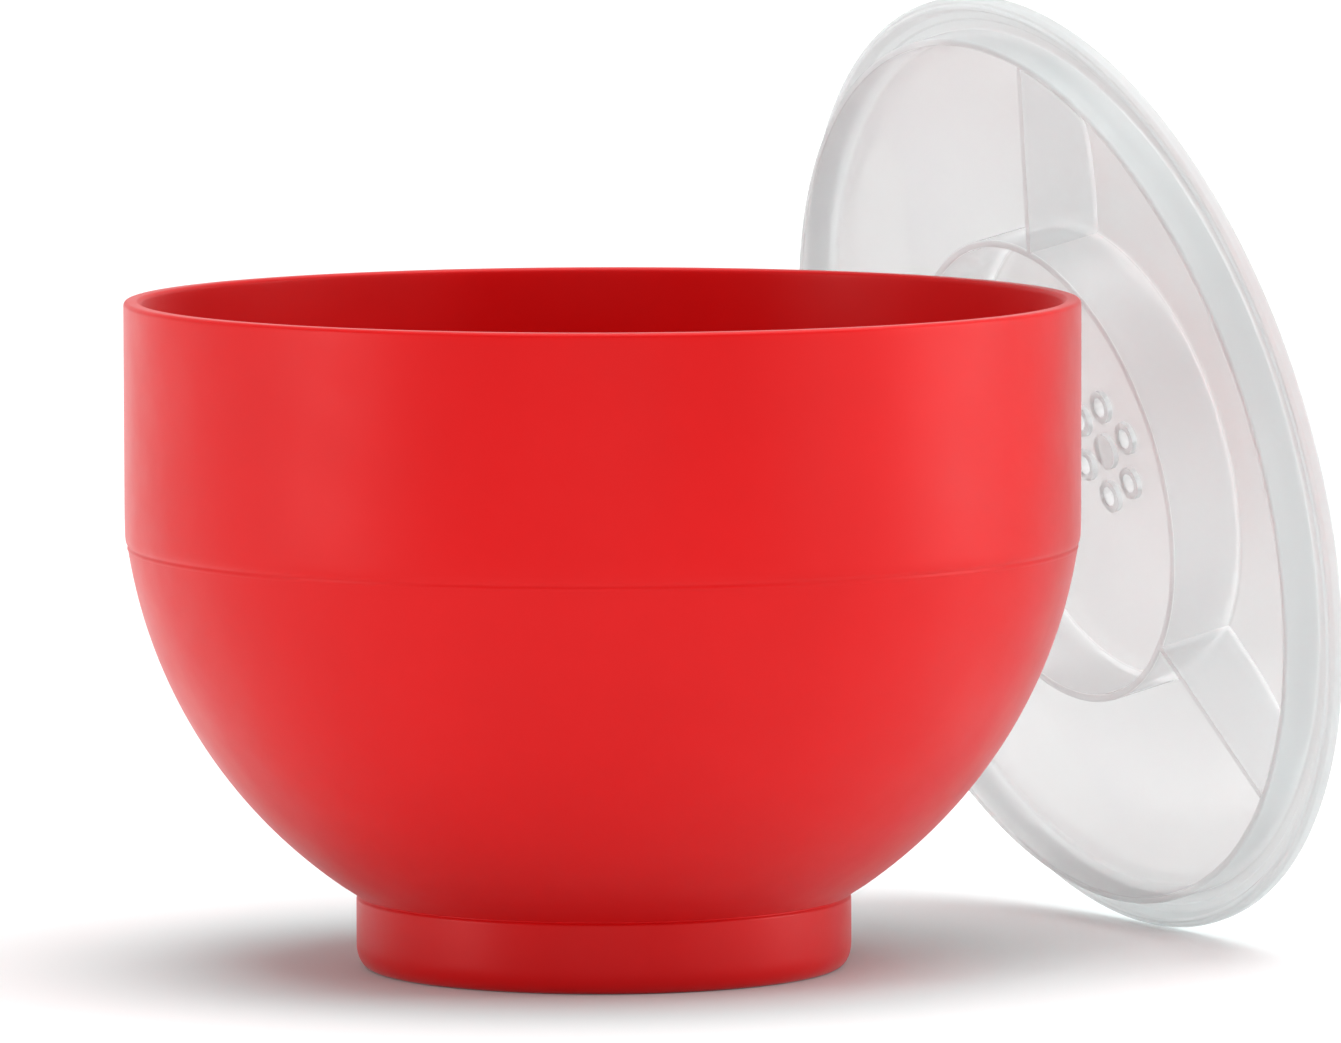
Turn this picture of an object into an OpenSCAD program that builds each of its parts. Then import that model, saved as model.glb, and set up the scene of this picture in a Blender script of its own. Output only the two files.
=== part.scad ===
// Microwave popcorn maker: a collapsible silicone bowl on a round foot, and a
// translucent vented lid that leans against its rim.
// Millimetres, +Z up. The origin is the centre of the foot's underside.

/* [Bowl] */
// Outer diameter of the rim and of the upper band
bowl_d = 210; // [208:1:214]
// Height of the rim above the table
bowl_h = 147; // [140:1:155]
// Height of the upper fold line, the crease that shows outside
crease_z = 93.6; // [92:0.1:96]
// Height of the lower fold line, where the folding wall starts
fold_z = 50; // [48:1:52]
// Wall thickness of the lower bowl
wall = 3; // [2.5:0.1:3.5]
// Wall thickness of the folding wall
fold_wall_t = 2.6; // [2:0.1:3]
// Wall thickness of the upper band
band_wall = 3.8; // [3.5:0.1:4]

/* [Foot] */
// Outer diameter of the foot ring
foot_d = 109; // [107:1:110]
// Height of the foot ring
foot_h = 15.6; // [14:0.1:17]
// Wall thickness of the foot ring
foot_wall = 4.6; // [4:0.1:5]
// Height of the inside floor above the table
floor_z = 13; // [12:0.5:13.5]

/* [Lid] */
// Outer diameter of the lid's lip
lid_d = 216; // [216:1:220]
// Wall thickness of the lid
lid_wall = 1.7; // [1.5:0.1:2]
// Height of the lid's underside above its lip, at the centre
dome_h = 10.8; // [9:0.1:13]
// Depth of the plug skirt below the lip
skirt_depth = 8.7; // [6:0.1:10]
// Depth of the turned-down edge of the lip
lip_drop = 2.4; // [1:0.1:3]
// Radius of the ring rib, to the middle of its wall
ring_r = 52.8; // [48:0.1:56]
// Depth of the ring rib and the straight ribs below the lip
rib_depth = 7.2; // [5:0.1:7.4]
// Turn of the straight ribs about the lid's axis
rib_turn = 75; // [0:1:119]

/* [Vents] */
// Radius of the circle of steam vents
vent_circle_r = 10.6; // [10:0.1:14]
// Diameter of each vent hole
vent_d = 4.4; // [3:0.1:5]
// Outer diameter of the collar round each vent
collar_d = 7.4; // [6.5:0.1:8]
// Height of the collars and of the centre boss
collar_h = 1.2; // [0.8:0.1:2]
// Turn of the vents about the lid's axis
vent_turn = 9; // [0:1:59]

/* [Lid at rest] */
// Lean of the lid's axis above the horizontal
lean = 12.8; // [12.6:0.1:13]
// Compass direction of the lid from the bowl
lid_azimuth = 28.6; // [0:0.1:359]
// Distance from the bowl's axis to the lid's centre
lid_reach = 118.3; // [118.2:0.1:122]
// Sideways offset of the lid's centre
lid_aside = -1; // [-2:0.1:2]

/* [Hidden] */
$fn = 96;

silicone_red = [0.86, 0.09, 0.09];
clear_plastic = [0.86, 0.87, 0.87, 0.6];

// The lower bowl and the folding wall share one round outer profile.
bowl_r = bowl_d / 2;
arc_r = 110;
arc_x = -4.5;
arc_z = 109;
// Above the crease the wall turns upright over this height.
shoulder_h = 8;
rim_round = 1.6;
foot_r = foot_d / 2;
foot_round = 2.6;
floor_r = 40;

lid_r = lid_d / 2;
bowl_bore_r = bowl_r - band_wall;
skirt_r = bowl_bore_r - 0.8;
skirt_in_r = skirt_r - lid_wall;
lip_edge_in_r = bowl_r + 0.6;
flat_r = ring_r + 1.4;
// Higher powers keep the cover flat further out before it drops to the lip.
dome_power = 3.3;
rib_count = 3;
vent_count = 6;
centre_boss_d = 8.2;
lid_centre_z = lid_r * cos(lean) + lip_drop * sin(lean);

// Radius of a circle about the profile's centre, at height z.
function arc_at(radius, z) = arc_x + sqrt(radius * radius - (z - arc_z) * (z - arc_z));

// Points up that circle from height z0 to z1.
function arc_points(radius, z0, z1, steps) =
  [for (i = [0 : steps]) let (z = z0 + (z1 - z0) * i / steps) [arc_at(radius, z), z]];

// Points of a quarter round, centred on c, from angle a0 to a1.
function round_points(c, radius, a0, a1, steps) =
  [for (i = [0 : steps]) let (a = a0 + (a1 - a0) * i / steps)
    [c[0] + radius * cos(a), c[1] + radius * sin(a)]];

// Outer radius of the shoulder, from the crease up to the upright band.
function shoulder_at(z) =
  let (u = (crease_z + shoulder_h - z) / shoulder_h)
  bowl_r - (bowl_r - arc_at(arc_r, crease_z)) * u * u;

// Height of the cover's underside above the lip, at radius r.
function under_cover(r) =
  r <= flat_r ? dome_h : dome_h * (1 - pow((r - flat_r) / (skirt_in_r - flat_r), dome_power));

// Points along the cover's underside, raised by up, from radius r0 to r1.
function cover_points(r0, r1, up, steps) =
  [for (i = [0 : steps]) let (r = r0 + (r1 - r0) * i / steps) [r, under_cover(r) + up]];

module revolve(points) {
  rotate_extrude($fn = 144)
    polygon(points);
}

// A tube between two radii and two heights.
module tube(r_out, r_in, z0, z1) {
  translate([0, 0, z0])
    difference() {
      cylinder(r = r_out, h = z1 - z0);
      translate([0, 0, -1])
        cylinder(r = r_in, h = z1 - z0 + 2);
    }
}

// Foot ring: a short upright ring with a rounded lower edge, open underneath.
module foot_ring() {
  color(silicone_red)
    revolve(concat(
      [[foot_r - foot_wall, 0]],
      round_points([foot_r - foot_round, foot_round], foot_round, -90, 0, 6),
      [[foot_r, foot_h - 0.6], [foot_r - 0.6, foot_h], [foot_r - foot_wall, foot_h]]
    ));
}

// Lower bowl: the rigid cup, from its flat floor up to the lower fold line.
module lower_bowl() {
  inner_r = arc_r - wall;
  floor_under_z = floor_z - wall;
  color(silicone_red)
    revolve(concat(
      [[0, floor_under_z], [foot_r - foot_wall, floor_under_z], [foot_r - foot_wall, foot_h]],
      arc_points(arc_r, foot_h, fold_z, 10),
      [for (i = [0 : 10]) arc_points(inner_r, 19, fold_z, 10)[10 - i]],
      [[floor_r + 6, 15], [floor_r, floor_z], [0, floor_z]]
    ));
}

// Folding wall: the thin cone between the fold lines, which turns inside out.
module fold_wall() {
  inner_r = arc_r - fold_wall_t;
  color(silicone_red)
    revolve(concat(
      arc_points(arc_r, fold_z, crease_z, 10),
      [for (i = [0 : 10]) arc_points(inner_r, fold_z, crease_z, 10)[10 - i]]
    ));
}

// Upper band: the upright wall above the crease, ending in the rounded rim.
module upper_band() {
  in_r = bowl_bore_r;
  crease_in_r = arc_at(arc_r - fold_wall_t, crease_z);
  color(silicone_red)
    revolve(concat(
      [for (i = [0 : 6]) let (z = crease_z + shoulder_h * i / 6) [shoulder_at(z), z]],
      round_points([bowl_r - rim_round, bowl_h - rim_round], rim_round, 0, 90, 5),
      round_points([in_r + rim_round, bowl_h - rim_round], rim_round, 90, 180, 5),
      [[in_r, crease_z + 2], [crease_in_r, crease_z]]
    ));
}

// Places a lid piece: +Z of the child is the lid's top, and it leans on the rim.
module lean_lid() {
  rotate([0, 0, lid_azimuth])
    translate([lid_reach, lid_aside, lid_centre_z])
      rotate([0, 90 - lean, 0])
        children();
}

// Copies a piece to each steam vent.
module at_vents() {
  for (i = [0 : vent_count - 1])
    rotate([0, 0, vent_turn + 360 / vent_count * i])
      translate([vent_circle_r, 0, 0])
        children();
}

// Cover: the shallow dished skin, flat in the middle, with the steam vents.
module lid_cover() {
  color(clear_plastic)
    lean_lid()
      difference() {
        revolve(concat(
          [[0, dome_h]],
          cover_points(flat_r, skirt_in_r, 0, 14),
          [for (i = [0 : 14]) cover_points(flat_r, skirt_in_r, lid_wall, 14)[14 - i]],
          [[0, dome_h + lid_wall]]
        ));
        at_vents()
          translate([0, 0, dome_h - 1])
            cylinder(d = vent_d, h = lid_wall + 2, $fn = 32);
      }
}

// Lip: the flat flange that lies on the bowl's rim, with a turned-down edge.
module lid_lip() {
  color(clear_plastic)
    lean_lid()
      revolve([
        [skirt_in_r, 0], [lip_edge_in_r, 0], [lip_edge_in_r, -lip_drop + 0.4],
        [lip_edge_in_r + 0.4, -lip_drop], [lid_r - 0.6, -lip_drop], [lid_r, -lip_drop + 0.6],
        [lid_r, lid_wall - 0.9], [lid_r - 0.9, lid_wall], [skirt_in_r, lid_wall]
      ]);
}

// Skirt: the plug ring that drops inside the bowl's rim.
module lid_skirt() {
  color(clear_plastic)
    lean_lid()
      revolve([
        [skirt_in_r, 0], [skirt_in_r, -skirt_depth], [skirt_r - 0.5, -skirt_depth],
        [skirt_r, -skirt_depth + 0.8], [skirt_r, 0]
      ]);
}

// Ring rib: the round stiffening wall under the edge of the flat disc.
module lid_ring_rib() {
  color(clear_plastic)
    lean_lid()
      tube(ring_r + lid_wall / 2, ring_r - lid_wall / 2, -rib_depth, dome_h);
}

// Straight ribs: three walls from the ring rib out to the skirt.
module lid_straight_ribs() {
  ring_out_r = ring_r + lid_wall / 2;
  color(clear_plastic)
    lean_lid()
      for (i = [0 : rib_count - 1])
        rotate([0, 0, rib_turn + 360 / rib_count * i])
          intersection() {
            revolve(concat(
              [[ring_out_r, -rib_depth], [ring_out_r, dome_h]],
              cover_points(flat_r, skirt_in_r, 0, 14),
              [[skirt_in_r, -rib_depth]]
            ));
            translate([0, -lid_wall / 2, -rib_depth - 1])
              cube([skirt_in_r + 5, lid_wall, rib_depth + dome_h + 2]);
          }
}

// Vent collars: a short tube round each vent, under the cover.
module vent_collars() {
  color(clear_plastic)
    lean_lid()
      at_vents()
        tube(collar_d / 2, vent_d / 2, dome_h - collar_h, dome_h);
}

// Centre boss: a low round pad in the middle of the vents, with no hole.
module centre_boss() {
  color(clear_plastic)
    lean_lid()
      translate([0, 0, dome_h - collar_h])
        cylinder(d = centre_boss_d, h = collar_h);
}

foot_ring();
lower_bowl();
fold_wall();
upper_band();
lid_cover();
lid_lip();
lid_skirt();
lid_ring_rib();
lid_straight_ribs();
vent_collars();
centre_boss();
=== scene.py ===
"""A collapsible silicone popcorn bowl with its translucent vented lid leaning on the rim."""

import math

import bmesh
import bpy
import numpy as np
from mathutils import Matrix, Vector


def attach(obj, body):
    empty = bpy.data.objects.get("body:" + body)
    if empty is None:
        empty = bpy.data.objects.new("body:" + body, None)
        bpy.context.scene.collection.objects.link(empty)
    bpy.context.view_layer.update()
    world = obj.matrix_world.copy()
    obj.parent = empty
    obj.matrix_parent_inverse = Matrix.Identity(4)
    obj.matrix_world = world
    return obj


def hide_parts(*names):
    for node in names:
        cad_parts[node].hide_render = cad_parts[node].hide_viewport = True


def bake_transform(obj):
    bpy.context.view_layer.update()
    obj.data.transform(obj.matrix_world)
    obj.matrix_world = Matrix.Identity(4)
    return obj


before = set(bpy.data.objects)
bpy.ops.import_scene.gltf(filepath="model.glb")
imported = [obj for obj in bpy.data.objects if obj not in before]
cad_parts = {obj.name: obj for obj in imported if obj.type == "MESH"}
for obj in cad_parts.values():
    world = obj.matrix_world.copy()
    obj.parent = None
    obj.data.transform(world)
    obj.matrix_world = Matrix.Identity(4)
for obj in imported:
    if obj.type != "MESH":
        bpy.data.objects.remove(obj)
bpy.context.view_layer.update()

MM = 0.001

# ---------------------------------------------------------------- bowl sizes, in millimetres
BOWL_R = 105.0
BOWL_H = 147.0
BORE_R = 101.2
CREASE_Z = 93.6
FOLD_Z = 50.0
WALL = 3.0
FOLD_WALL = 2.6
# The lower bowl and the folding wall share one round profile, with this radius and centre.
ARC_R, ARC_X, ARC_Z = 110.0, -4.5, 109.0
PROFILE_STEP = 1.5
BOWL_SEGMENTS = 256

FOOT_R = 54.5
FOOT_H = 15.6
FOOT_IN_R = 49.9
# The foot's outer edge rolls under in a quarter of an ellipse, taller than it is wide.
FOOT_ROLL_W, FOOT_ROLL_H = 3.0, 5.04
FOOT_ROLL_STEPS = 8
# The wall above the foot starts this far up, past the fillet at the foot's top edge.
FOOT_BLEND = 3.2
FLOOR_Z = 13.0
FLOOR_R = 40.0

# The crease is a fine groove: (outward, up) from the crease's own radius and height.
CREASE_GROOVE = ((0.02, -0.9), (-0.03, -0.5), (-0.10, -0.2), (-0.02, 0.05), (0.22, 0.4), (0.36, 0.9))
# The wall's plain arc stops this far below the crease, where the groove starts.
CREASE_CLEAR = 1.2
# Above the groove the shoulder starts a little proud of the folding wall and turns upright.
SHOULDER_H = 8.0
SHOULDER_PROUD = 0.40
SHOULDER_STEPS = 8
# The moulded line inside at the lower fold: (up, inward) from the fold's height.
FOLD_LINE = ((1.6, 0.1), (0.8, -0.35), (0.0, -0.5), (-0.8, -0.35), (-1.6, 0.1))

# ---------------------------------------------------------------- lid sizes, in millimetres
LID_R = 108.0
LID_WALL = 1.7
DOME_H = 10.8
DOME_POWER = 3.3
SKIRT_DEPTH = 8.7
SKIRT_R = 100.4
SKIRT_IN_R = SKIRT_R - LID_WALL
LIP_DROP = 2.4
LIP_EDGE_IN_R = 105.6
RING_R = 52.8
FLAT_R = RING_R + 1.4
RIB_DEPTH = 7.2
RIB_COUNT = 3
RIB_TURN = 75.0
VENT_COUNT = 6
VENT_CIRCLE_R = 10.6
VENT_D = 4.4
VENT_TURN = 9.0
COLLAR_D = 7.4
COLLAR_H = 1.2
BOSS_D = 8.2
COVER_STEPS = 18
LID_SEGMENTS = 240
PAD_SEGMENTS = 32
# How far a rib or a pad reaches into the wall that it joins.
SINK = 0.5
# Points closer than this, in metres, are slivers left by the cuts.
SLIVER = 2e-6
SHARP_EDGE = math.radians(32)

# Lit and shaded copies of the lid's material: name, shade of the base colour, alpha. The vents' copy is
# darker: painted shade round the vents and the boss, on top of their thicker plastic. The copies on the ribs'
# walls and lower edges are lighter and clearer: painted light against the shade and the dark refracted lines
# that they get.
COVER, RIB_WALL, RIB_EDGE, VENTS, LIP = range(5)
LID_TONES_AND_PAINTED_SHADING = (
    ("lid_plastic", 0.87, 0.50),
    ("lid_rib_walls_painted_light", 1.05, 0.34),
    ("lid_rib_edges_painted_light", 0.92, 0.46),
    ("lid_vents_painted_shade", 0.64, 0.62),
    ("lid_lip", 0.95, 0.62),
)

# ---------------------------------------------------------------- stage
FLOOR_SIZE = 40.0
# Near the bowl the floor's red is lowered, painted to cancel the red light that the bowl throws on it.
FLOOR_COOL = (0.72, 0.93, 0.93)
FLOOR_NEAR = (0.85, 0.93, 0.93)
FLOOR_PLAIN = (0.93, 0.93, 0.93)

# The dome of light is brightest in this direction, and dims to DOME_DIM away from it.
DOME_SIDE = (0.0, 0.45, 0.9)
DOME_DIM = 0.04
DOME_FROM, DOME_TO = -0.38, 0.75
DOME_STRENGTH = 0.58
SUN_STRENGTH = 2.55
SUN_TILT = 10.0
SUN_SPREAD = 66.0
LIGHT_TARGET = (0.03, 0.02, 0.08)
# Softboxes: name, place, width, height, watts.
SOFTBOXES = (
    ("left_softbox", (-1.6, -0.7, 0.28), 0.6, 0.5, 6.5),
    ("right_softbox", (1.6, 0.0, 0.40), 0.6, 0.7, 8.5),
    ("right_fill", (1.45, -1.15, 0.24), 0.5, 0.4, 2),
    ("front_fill", (0.0, -3.1, 0.22), 1.6, 0.36, 4.5),
    ("key_softbox", (-0.3, -1.1, 1.7), 0.4, 0.4, 2),
)

CAMERA_PLACE = (0.0, -2.6, 0.3288)
CAMERA_YAW, CAMERA_PITCH, CAMERA_ROLL = 0.327, 5.074, -0.111
CAMERA_SENSOR = 36.0
CAMERA_LENS = 319.0
CAMERA_REACH = 100.0


# ---------------------------------------------------------------- profile helpers
def arc_at(radius, z):
    """Radius of the bowl's round wall at height z."""
    return ARC_X + math.sqrt(radius * radius - (z - ARC_Z) ** 2)


def smooth(t):
    """Eases from 0 to 1."""
    t = min(max(t, 0.0), 1.0)
    return t * t * (3 - 2 * t)


def line(p, q, steps):
    """Points from p to q, without q."""
    return [(p[0] + (q[0] - p[0]) * i / steps, p[1] + (q[1] - p[1]) * i / steps) for i in range(steps)]


def stepped(start, stop, step):
    """Values after start, a step apart, until one has reached or passed stop."""
    value = start
    while (stop - value) * step > 0:
        value += step
        yield value


def fillet(points, radii, steps=5):
    """Rounds each corner of an open outline that has a radius, with a quadratic curve."""
    out = []
    for i, (p, radius) in enumerate(zip(points, radii)):
        if radius <= 0 or i in (0, len(points) - 1):
            out.append(p)
            continue
        p = Vector(p)
        a = Vector(points[i - 1]) - p
        b = Vector(points[i + 1]) - p
        reach = min(radius, 0.48 * a.length, 0.48 * b.length)
        start, end = p + a.normalized() * reach, p + b.normalized() * reach
        for k in range(steps + 1):
            t = k / steps
            q = start * (1 - t) ** 2 + p * 2 * t * (1 - t) + end * t * t
            out.append((q.x, q.y))
    return out


# ---------------------------------------------------------------- mesh helpers
def new_mesh_object(name, bm):
    """Makes a smooth-shaded object of a bmesh, and frees the bmesh."""
    mesh = bpy.data.meshes.new(name)
    bmesh.ops.recalc_face_normals(bm, faces=bm.faces)
    bm.to_mesh(mesh)
    bm.free()
    for polygon in mesh.polygons:
        polygon.use_smooth = True
    obj = bpy.data.objects.new(name, mesh)
    bpy.context.scene.collection.objects.link(obj)
    return obj


def revolve(bm, points, segments):
    """Turns an outline of (radius, height), in millimetres, about Z.

    A point on the axis becomes one vertex. An outline with no end on the axis closes up.
    """
    rings = []
    for r, z in points:
        if r < 1e-6:
            rings.append([bm.verts.new((0, 0, z * MM))])
        else:
            rings.append([
                bm.verts.new((r * MM * math.cos(a), r * MM * math.sin(a), z * MM))
                for a in (2 * math.pi * k / segments for k in range(segments))
            ])
    pairs = list(zip(rings, rings[1:]))
    if len(rings[0]) > 1 and len(rings[-1]) > 1:
        pairs.append((rings[-1], rings[0]))
    for low, high in pairs:
        if len(low) == 1 and len(high) == 1:
            continue
        for k in range(segments):
            n = (k + 1) % segments
            if len(low) == 1:
                bm.faces.new((low[0], high[k], high[n]))
            elif len(high) == 1:
                bm.faces.new((low[k], low[n], high[0]))
            else:
                bm.faces.new((low[k], low[n], high[n], high[k]))


def cylinder_at(bm, x, y, radius, z0, z1):
    """Adds a plain round cutter or pad, in millimetres."""
    result = bmesh.ops.create_cone(
        bm, cap_ends=True, segments=PAD_SEGMENTS,
        radius1=radius * MM, radius2=radius * MM, depth=(z1 - z0) * MM,
    )
    bmesh.ops.translate(bm, verts=result["verts"], vec=(x * MM, y * MM, (z0 + z1) / 2 * MM))


def apply_boolean(obj, cutter, operation):
    """Joins the cutter to an object or cuts it away, and removes the cutter."""
    modifier = obj.modifiers.new("shape", "BOOLEAN")
    modifier.operation = operation
    modifier.object = cutter
    modifier.solver = "EXACT"
    depsgraph = bpy.context.evaluated_depsgraph_get()
    mesh = bpy.data.meshes.new_from_object(obj.evaluated_get(depsgraph))
    obj.modifiers.remove(modifier)
    old = obj.data
    obj.data = mesh
    bpy.data.meshes.remove(old)
    bpy.data.objects.remove(cutter)


def tidy_mesh(mesh):
    """Merges the micron-sized slivers that the boolean cuts leave."""
    bm = bmesh.new()
    bm.from_mesh(mesh)
    bmesh.ops.remove_doubles(bm, verts=bm.verts, dist=SLIVER)
    bmesh.ops.dissolve_degenerate(bm, dist=SLIVER, edges=bm.edges)
    bm.to_mesh(mesh)
    bm.free()


# ---------------------------------------------------------------- bowl
def foot_outline():
    """The underside's recess and the foot ring, out and up to the round wall."""
    under_z = FLOOR_Z - WALL
    outline = fillet(
        [(0, under_z), (FOOT_IN_R, under_z), (FOOT_IN_R, 0), (FOOT_R - FOOT_ROLL_W, 0)],
        [0, 1.5, 0.5, 0],
    )
    for step in range(1, FOOT_ROLL_STEPS + 1):
        a = math.pi / 2 * step / FOOT_ROLL_STEPS
        outline.append((FOOT_R - FOOT_ROLL_W * (1 - math.sin(a)), FOOT_ROLL_H * (1 - math.cos(a))))
    wall_z = FOOT_H + FOOT_BLEND
    outline += fillet(
        [(FOOT_R, 6), (FOOT_R, FOOT_H - 0.3), (arc_at(ARC_R, FOOT_H + 0.5) - 0.45, FOOT_H + 0.3),
         (arc_at(ARC_R, wall_z), wall_z)],
        [0, 1.6, 1.2, 0],
    )
    return outline


def outside_outline():
    """The round wall, the crease, the shoulder and the upright band, up to the rim."""
    top = CREASE_Z - CREASE_CLEAR
    heights = [min(z, top) for z in stepped(FOOT_H + FOOT_BLEND, top, PROFILE_STEP)]
    outline = [(arc_at(ARC_R, z), z) for z in heights]
    crease_r = arc_at(ARC_R, CREASE_Z)
    outline += [(crease_r + out, CREASE_Z + up) for out, up in CREASE_GROOVE]
    groove_top = CREASE_GROOVE[-1][1]
    for i in range(1, SHOULDER_STEPS + 1):
        z = CREASE_Z + groove_top + (SHOULDER_H - groove_top) * i / SHOULDER_STEPS
        u = (CREASE_Z + SHOULDER_H - z) / SHOULDER_H
        outline.append((BOWL_R - (BOWL_R - crease_r - SHOULDER_PROUD) * u * u, z))
    return outline + line((BOWL_R, CREASE_Z + SHOULDER_H + 2), (BOWL_R, BOWL_H - 2.2), 16)


def inside_outline():
    """The bore, the inside of the folding wall, the lower fold line and the floor."""
    outline = line((BORE_R, BOWL_H - 3), (BORE_R, CREASE_Z + 6), 14)
    crease_in = arc_at(ARC_R - FOLD_WALL, CREASE_Z)
    outline += fillet(
        [(BORE_R, CREASE_Z + 6), (BORE_R, CREASE_Z + 1.2), (crease_in - 0.6, CREASE_Z - 3)],
        [0, 2.5, 0],
    )[1:]
    for z in stepped(CREASE_Z - 3, FOLD_Z + 4, -PROFILE_STEP):
        thicker = 0.15 * smooth((CREASE_Z - z) / 20)
        outline.append((arc_at(ARC_R - FOLD_WALL, z) - thicker, z))
    for up, inward in FOLD_LINE:
        z = FOLD_Z + up
        outline.append((arc_at(ARC_R - WALL, z) - inward, z))
    for z in stepped(FOLD_Z - 2, 21, -PROFILE_STEP):
        outline.append((arc_at(ARC_R - WALL, z), z))
    floor = fillet(
        [outline[-1], (FLOOR_R + 6, FLOOR_Z + 1.0), (FLOOR_R - 4, FLOOR_Z), (0, FLOOR_Z)],
        [0, 4, 4, 0],
    )
    return outline + floor[1:]


def bowl_outline():
    """The bowl's whole section, from the middle of its underside round to the middle of its floor."""
    rim = fillet(
        [(BOWL_R, BOWL_H - 2.2), (BOWL_R, BOWL_H), (BORE_R, BOWL_H), (BORE_R, BOWL_H - 2.2)],
        [0, 1.5, 1.7, 0], steps=6,
    )
    return foot_outline() + outside_outline() + rim + inside_outline()


def make_bowl():
    """The bowl: one closed skin that blends from the base to the band across the folding wall."""
    bm = bmesh.new()
    revolve(bm, bowl_outline(), BOWL_SEGMENTS)
    bowl = new_mesh_object("bowl_shell", bm)
    bowl.data.materials.append(silicone_material())
    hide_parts("foot_ring", "lower_bowl", "fold_wall", "upper_band")
    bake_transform(bowl)


# ---------------------------------------------------------------- lid
def lid_matrix():
    """The lid's own frame: origin on the lip's underside, +Z out of the lid's top.

    It is read from the ring rib, whose points lie on circles about the lid's axis.
    """
    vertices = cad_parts["lid_ring_rib"].data.vertices
    ring = np.array([v.co for v in vertices], float)
    centre = ring.mean(0)
    _, _, axes = np.linalg.svd(ring - centre)
    # The axis is the direction in which the points are least spread.
    normal = axes[2] if axes[2][2] > 0 else -axes[2]
    down = -(np.array([0, 0, 1.0]) - normal * normal[2])
    down /= np.linalg.norm(down)
    side = np.cross(normal, down)
    heights = (ring - centre) @ normal
    origin = centre
    for direction in (down, side):
        across = (ring - centre) @ direction
        origin = origin + direction * (across.max() + across.min()) / 2
    origin = origin + normal * (heights.min() + RIB_DEPTH * MM)
    matrix = Matrix.Identity(4)
    for column, values in enumerate((down, side, normal, origin)):
        for row in range(3):
            matrix[row][column] = values[row]
    return matrix


def under_cover(r):
    """Height of the cover's underside above the lip, at radius r."""
    if r <= FLAT_R:
        return DOME_H
    return DOME_H * (1 - ((r - FLAT_R) / (SKIRT_IN_R - FLAT_R)) ** DOME_POWER)


def lid_outline():
    """The lid's whole section: cover, ring rib, skirt and stepped lip in one moulding.

    Each entry is a corner and how far it is rounded.
    """
    ring_in, ring_out = RING_R - LID_WALL / 2, RING_R + LID_WALL / 2
    shape = [
        ((0, DOME_H), 0),
        ((ring_in, DOME_H), 0.8), ((ring_in, -RIB_DEPTH), 0.45),
        ((ring_out, -RIB_DEPTH), 0.45), ((ring_out, DOME_H), 0.8),
    ]
    shape += [((r, under_cover(r)), 0) for r in np.linspace(ring_out + 2.5, SKIRT_IN_R - 3, COVER_STEPS)]
    shape += [
        ((SKIRT_IN_R, under_cover(SKIRT_IN_R - 0.9)), 0.9), ((SKIRT_IN_R, -SKIRT_DEPTH), 0.5),
        ((SKIRT_R, -SKIRT_DEPTH), 0.7), ((SKIRT_R, 0.0), 0.6),
    ]
    # Fine steps run round the lip's underside, out to its turned-down edge, and back over its top.
    shape += [
        ((102.6, 0.0), 0.2), ((102.9, -0.35), 0.2), ((104.6, -0.35), 0.4),
        ((LIP_EDGE_IN_R, -LIP_DROP), 0.3), ((106.3, -LIP_DROP), 0.2),
        ((106.7, -1.9), 0.2), ((107.3, -1.9), 0.2), ((LID_R, -1.2), 0.3),
        ((LID_R, 1.0), 0.5), ((106.6, LID_WALL), 0.4), ((105.0, LID_WALL), 0.3),
        ((104.6, LID_WALL + 0.35), 0.3), ((101.8, LID_WALL + 0.35), 0.5),
    ]
    top_radii = np.linspace(SKIRT_IN_R - 2.0, RING_R + 3, COVER_STEPS)
    shape += [((r, under_cover(r) + LID_WALL), 0) for r in top_radii]
    shape += [((0, DOME_H + LID_WALL), 0)]
    return fillet([p for p, _ in shape], [r for _, r in shape], steps=4)


def straight_ribs():
    """The three straight ribs, reaching a little into the ring rib, the cover and the skirt."""
    bm = bmesh.new()
    inner, outer = RING_R - 0.2, SKIRT_IN_R + SINK
    half = LID_WALL * 0.45
    outline = [(r, under_cover(min(r, SKIRT_IN_R)) + 0.6) for r in np.linspace(inner, outer, 26)]
    outline += [(outer, -RIB_DEPTH), (inner, -RIB_DEPTH)]
    count = len(outline)
    for k in range(RIB_COUNT):
        turn = Matrix.Rotation(math.radians(RIB_TURN + 360 / RIB_COUNT * k), 4, "Z")
        near, far = (
            [bm.verts.new(turn @ Vector((r * MM, y * MM, z * MM))) for r, z in outline]
            for y in (-half, half)
        )
        bm.faces.new(near)
        bm.faces.new(far[::-1])
        for i in range(count):
            j = (i + 1) % count
            bm.faces.new((near[j], near[i], far[i], far[j]))
    bmesh.ops.recalc_face_normals(bm, faces=bm.faces)
    bmesh.ops.triangulate(bm, faces=[f for f in bm.faces if len(f.verts) > 4])
    return new_mesh_object("straight_ribs", bm)


def vent_places():
    """Centres of the steam vents, in millimetres."""
    for k in range(VENT_COUNT):
        a = math.radians(VENT_TURN + 360 / VENT_COUNT * k)
        yield VENT_CIRCLE_R * math.cos(a), VENT_CIRCLE_R * math.sin(a)


def vent_pads():
    """The collars round the vents, and the boss in the middle of them."""
    bm = bmesh.new()
    for x, y in vent_places():
        cylinder_at(bm, x, y, COLLAR_D / 2, DOME_H - COLLAR_H, DOME_H + SINK)
    cylinder_at(bm, 0, 0, BOSS_D / 2, DOME_H - COLLAR_H, DOME_H + SINK)
    return new_mesh_object("vent_pads", bm)


def vent_holes():
    """Cutters for the vents, longer than the wall at both ends."""
    bm = bmesh.new()
    for x, y in vent_places():
        cylinder_at(bm, x, y, VENT_D / 2, DOME_H - COLLAR_H - 2, DOME_H + LID_WALL + 2)
    return new_mesh_object("vent_holes", bm)


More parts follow.
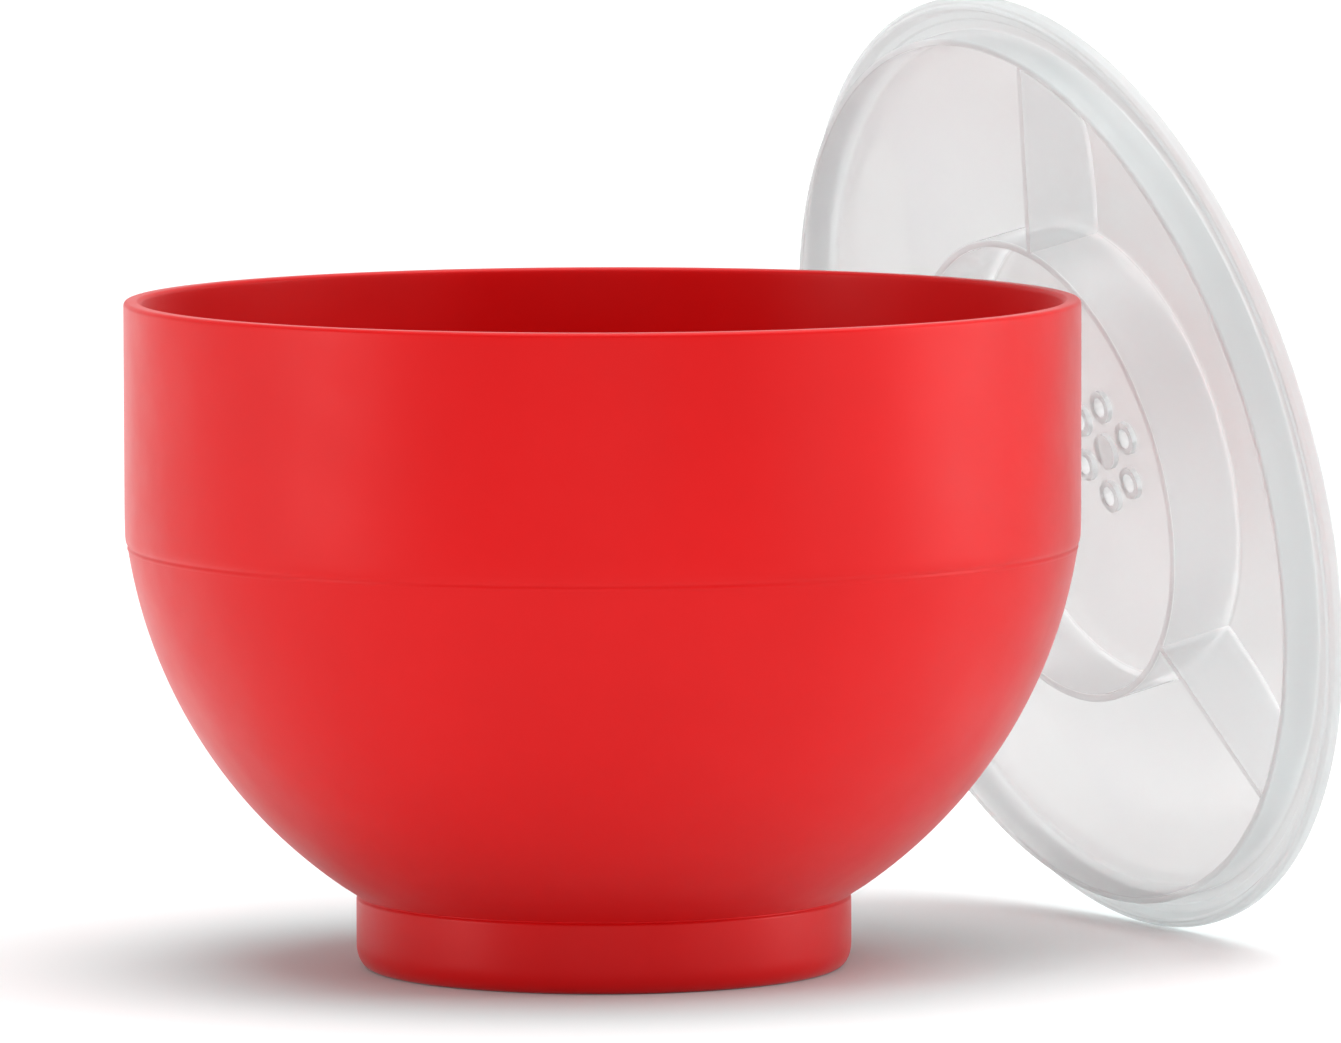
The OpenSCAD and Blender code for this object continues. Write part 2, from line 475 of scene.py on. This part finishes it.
def lid_shading_zone(centre, normal):
    """Which copy of the lid's material a face has, some with painted shade and some with painted light, from
    its middle and normal in the lid's own frame.
    """
    r, z = math.hypot(centre.x, centre.y) / MM, centre.z / MM
    # The collars, the boss and the vents' walls get painted shade.
    if r < VENT_CIRCLE_R + COLLAR_D / 2 + 0.1 and z < DOME_H - 0.05:
        return VENTS
    if r > SKIRT_IN_R + 0.2:
        return LIP
    # The ribs' lower edges get painted light.
    if z < -RIB_DEPTH + 0.5 and r < SKIRT_IN_R - 0.2:
        return RIB_EDGE
    # The ribs' side walls get painted light.
    if RING_R - 1.2 < r < SKIRT_IN_R - 0.05 and z < under_cover(r) - 0.45 and abs(normal.z) < 0.6:
        return RIB_WALL
    return COVER


def make_lid():
    """The lid: one closed skin with its ribs, collars and boss, and six vents cut through."""
    bm = bmesh.new()
    revolve(bm, lid_outline(), LID_SEGMENTS)
    lid = new_mesh_object("lid_shell", bm)
    apply_boolean(lid, straight_ribs(), "UNION")
    apply_boolean(lid, vent_pads(), "UNION")
    apply_boolean(lid, vent_holes(), "DIFFERENCE")
    tidy_mesh(lid.data)
    lid.data.materials.clear()
    # Lit and shaded copies of one material: painted shade round the vents, painted light on the ribs' walls
    # and edges.
    for name, shade, alpha in LID_TONES_AND_PAINTED_SHADING:
        lid.data.materials.append(lid_material(name, shade, alpha))
    for polygon in lid.data.polygons:
        polygon.material_index = lid_shading_zone(polygon.center, polygon.normal)
        polygon.use_smooth = True
    lid.data.transform(lid_matrix())
    lid.data.set_sharp_from_angle(angle=SHARP_EDGE)
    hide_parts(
        "lid_cover", "lid_lip", "lid_skirt", "lid_ring_rib", "lid_straight_ribs",
        "vent_collars", "centre_boss",
    )
    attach(lid, "lid")


# ---------------------------------------------------------------- material helpers
def grey(value):
    return (value, value, value, 1.0)


def shaded(colour, shade):
    """A colour times a shade, with an alpha of 1."""
    return tuple(channel * shade for channel in colour) + (1,)


def new_material(name):
    """A material, its node tree, its shader and its object coordinates."""
    material = bpy.data.materials.new(name)
    material.use_nodes = True
    tree = material.node_tree
    place = tree.nodes.new("ShaderNodeTexCoord").outputs["Object"]
    return material, tree, tree.nodes["Principled BSDF"], place


def noise(tree, place, scale, detail, roughness):
    """The value of a noise texture at a place."""
    made = tree.nodes.new("ShaderNodeTexNoise")
    made.inputs["Scale"].default_value = scale
    made.inputs["Detail"].default_value = detail
    made.inputs["Roughness"].default_value = roughness
    tree.links.new(place, made.inputs["Vector"])
    return made.outputs["Fac"]


def ramp(tree, source, stops):
    """Turns a value into a colour, through stops of (position, colour)."""
    made = tree.nodes.new("ShaderNodeValToRGB")
    elements = made.color_ramp.elements
    elements[0].position, elements[0].color = stops[0]
    elements[1].position, elements[1].color = stops[-1]
    for position, colour in stops[1:-1]:
        elements.new(position).color = colour
    tree.links.new(source, made.inputs["Fac"])
    return made.outputs["Color"]


def bump(tree, shader, height, strength, distance, previous=None):
    """Bumps a shader by a height, on top of a previous bump if there is one."""
    made = tree.nodes.new("ShaderNodeBump")
    made.inputs["Strength"].default_value = strength
    made.inputs["Distance"].default_value = distance
    tree.links.new(height, made.inputs["Height"])
    if previous is not None:
        tree.links.new(previous.outputs["Normal"], made.inputs["Normal"])
    tree.links.new(made.outputs["Normal"], shader.inputs["Normal"])
    return made


def set_inputs(shader, values):
    for name, value in values.items():
        shader.inputs[name].default_value = value


# ---------------------------------------------------------------- materials
def silicone_material():
    """Satin moulded silicone: a soft red with faint mottling, a fine grain and a slightly uneven surface."""
    material, tree, shader, place = new_material("silicone")
    mottle = ramp(tree, noise(tree, place, 16.0, 4.0, 0.55), [
        (0.30, (0.585, 0.0008, 0.0015, 1)),
        (0.50, (0.615, 0.001, 0.0018, 1)),
        (0.72, (0.645, 0.002, 0.003, 1)),
    ])
    tree.links.new(mottle, shader.inputs["Base Color"])
    gloss = ramp(tree, noise(tree, place, 60.0, 5.0, 0.6), [(0.3, grey(0.37)), (0.7, grey(0.46))])
    tree.links.new(gloss, shader.inputs["Roughness"])
    uneven = bump(tree, shader, noise(tree, place, 22.0, 2.0, 0.4), 0.25, 0.0006)
    bump(tree, shader, noise(tree, place, 900.0, 2.0, 0.6), 0.12, 0.00004, previous=uneven)
    # The reddish specular tint keeps the middle saturated, and the sheen keeps the silhouette pale.
    set_inputs(shader, {
        "IOR": 1.42,
        "Subsurface Weight": 0.12,
        "Subsurface Radius": (0.006, 0.0012, 0.001),
        "Subsurface Scale": 1.0,
        "Specular IOR Level": 0.55,
        "Specular Tint": (1.0, 0.48, 0.48, 1),
        "Sheen Weight": 0.35,
        "Sheen Roughness": 0.28,
        "Sheen Tint": (1.0, 0.72, 0.72, 1),
    })
    return material


def lid_material(name, shade, alpha):
    """Translucent natural polypropylene: milky and satin, with faint flow marks and clouding. The shade
    scales the base colour, which paints shade round the vents and light on the ribs.
    """
    material, tree, shader, place = new_material(name)
    cloud = ramp(tree, noise(tree, place, 14.0, 4.0, 0.55), [
        (0.3, shaded((0.745, 0.805, 0.81), shade)),
        (0.7, shaded((0.79, 0.85, 0.855), shade)),
    ])
    tree.links.new(cloud, shader.inputs["Base Color"])
    gloss = ramp(tree, noise(tree, place, 45.0, 4.0, 0.6), [(0.35, grey(0.30)), (0.7, grey(0.36))])
    tree.links.new(gloss, shader.inputs["Roughness"])
    bump(tree, shader, noise(tree, place, 30.0, 2.0, 0.4), 0.12, 0.0004)
    set_inputs(shader, {
        "IOR": 1.3,
        "Transmission Weight": 0.6,
        "Specular IOR Level": 0.4,
        "Coat Weight": 0.25,
        "Coat Roughness": 0.10,
        "Alpha": alpha,
    })
    return material


def floor_material():
    """A white sweep, very slightly cool round the bowl, which cancels the red that the bowl throws on it."""
    material, tree, shader, place = new_material("table_white")
    away = tree.nodes.new("ShaderNodeVectorMath")
    away.operation = "LENGTH"
    tree.links.new(place, away.inputs[0])
    tint = ramp(tree, away.outputs["Value"], [
        (0.04, FLOOR_COOL + (1,)),
        (0.09, FLOOR_COOL + (1,)),
        (0.13, FLOOR_NEAR + (1,)),
        (0.22, FLOOR_PLAIN + (1,)),
    ])
    tree.links.new(tint, shader.inputs["Base Color"])
    set_inputs(shader, {"Roughness": 0.75, "Specular IOR Level": 0.1})
    return material


# ---------------------------------------------------------------- floor, lights and camera
def make_floor():
    bm = bmesh.new()
    bmesh.ops.create_grid(bm, x_segments=1, y_segments=1, size=FLOOR_SIZE)
    floor = new_mesh_object("floor", bm)
    floor.data.materials.append(floor_material())


def softbox(name, place, width, height, watts):
    """A rectangular light that faces the bowl."""
    light = bpy.data.lights.new(name, "AREA")
    light.shape = "RECTANGLE"
    light.size, light.size_y = width, height
    light.energy = watts
    obj = bpy.data.objects.new(name, light)
    obj.location = place
    direction = Vector(LIGHT_TARGET) - obj.location
    obj.rotation_euler = direction.to_track_quat("-Z", "Y").to_euler()
    bpy.context.scene.collection.objects.link(obj)


def make_dome():
    """A white dome overhead and behind, falling off to a dim room low down in front."""
    world = bpy.data.worlds.new("studio")
    bpy.context.scene.world = world
    world.use_nodes = True
    tree = world.node_tree
    direction = tree.nodes.new("ShaderNodeTexCoord")
    dome = tree.nodes.new("ShaderNodeVectorMath")
    dome.operation = "DOT_PRODUCT"
    dome.inputs[1].default_value = Vector(DOME_SIDE).normalized()
    tree.links.new(direction.outputs["Generated"], dome.inputs[0])
    spread = tree.nodes.new("ShaderNodeMapRange")
    spread.inputs["From Min"].default_value = DOME_FROM
    spread.inputs["From Max"].default_value = DOME_TO
    tree.links.new(dome.outputs["Value"], spread.inputs["Value"])
    level = ramp(tree, spread.outputs["Result"], [(0.0, grey(DOME_DIM)), (0.42, grey(0.9)), (1.0, grey(1.0))])
    background = tree.nodes["Background"]
    tree.links.new(level, background.inputs["Color"])
    background.inputs["Strength"].default_value = DOME_STRENGTH


def make_overhead_panel():
    """A wide soft source overhead, tilted a little to the right, which gives the shadow under the bowl."""
    panel = bpy.data.lights.new("overhead_panel", "SUN")
    panel.energy = SUN_STRENGTH
    panel.angle = math.radians(SUN_SPREAD)
    overhead = bpy.data.objects.new("overhead_panel", panel)
    overhead.rotation_euler = (0, math.radians(SUN_TILT), 0)
    bpy.context.scene.collection.objects.link(overhead)


def make_lights():
    make_dome()
    for values in SOFTBOXES:
        softbox(*values)
    make_overhead_panel()


def make_camera():
    """A long lens 2.6 m away, a little above the rim."""
    data = bpy.data.cameras.new("camera")
    data.sensor_width = CAMERA_SENSOR
    data.lens = CAMERA_LENS
    data.clip_end = CAMERA_REACH
    camera = bpy.data.objects.new("camera", data)
    yaw, pitch, roll = (math.radians(a) for a in (CAMERA_YAW, CAMERA_PITCH, CAMERA_ROLL))
    camera.matrix_world = (
        Matrix.Translation(CAMERA_PLACE)
        @ Matrix.Rotation(-yaw, 4, "Z")
        @ Matrix.Rotation(math.pi / 2 - pitch, 4, "X")
        @ Matrix.Rotation(roll, 4, "Z")
    )
    bpy.context.scene.collection.objects.link(camera)
    bpy.context.scene.camera = camera


bpy.context.scene.view_settings.view_transform = "Standard"
make_camera()
make_lights()
make_floor()
make_bowl()
make_lid()
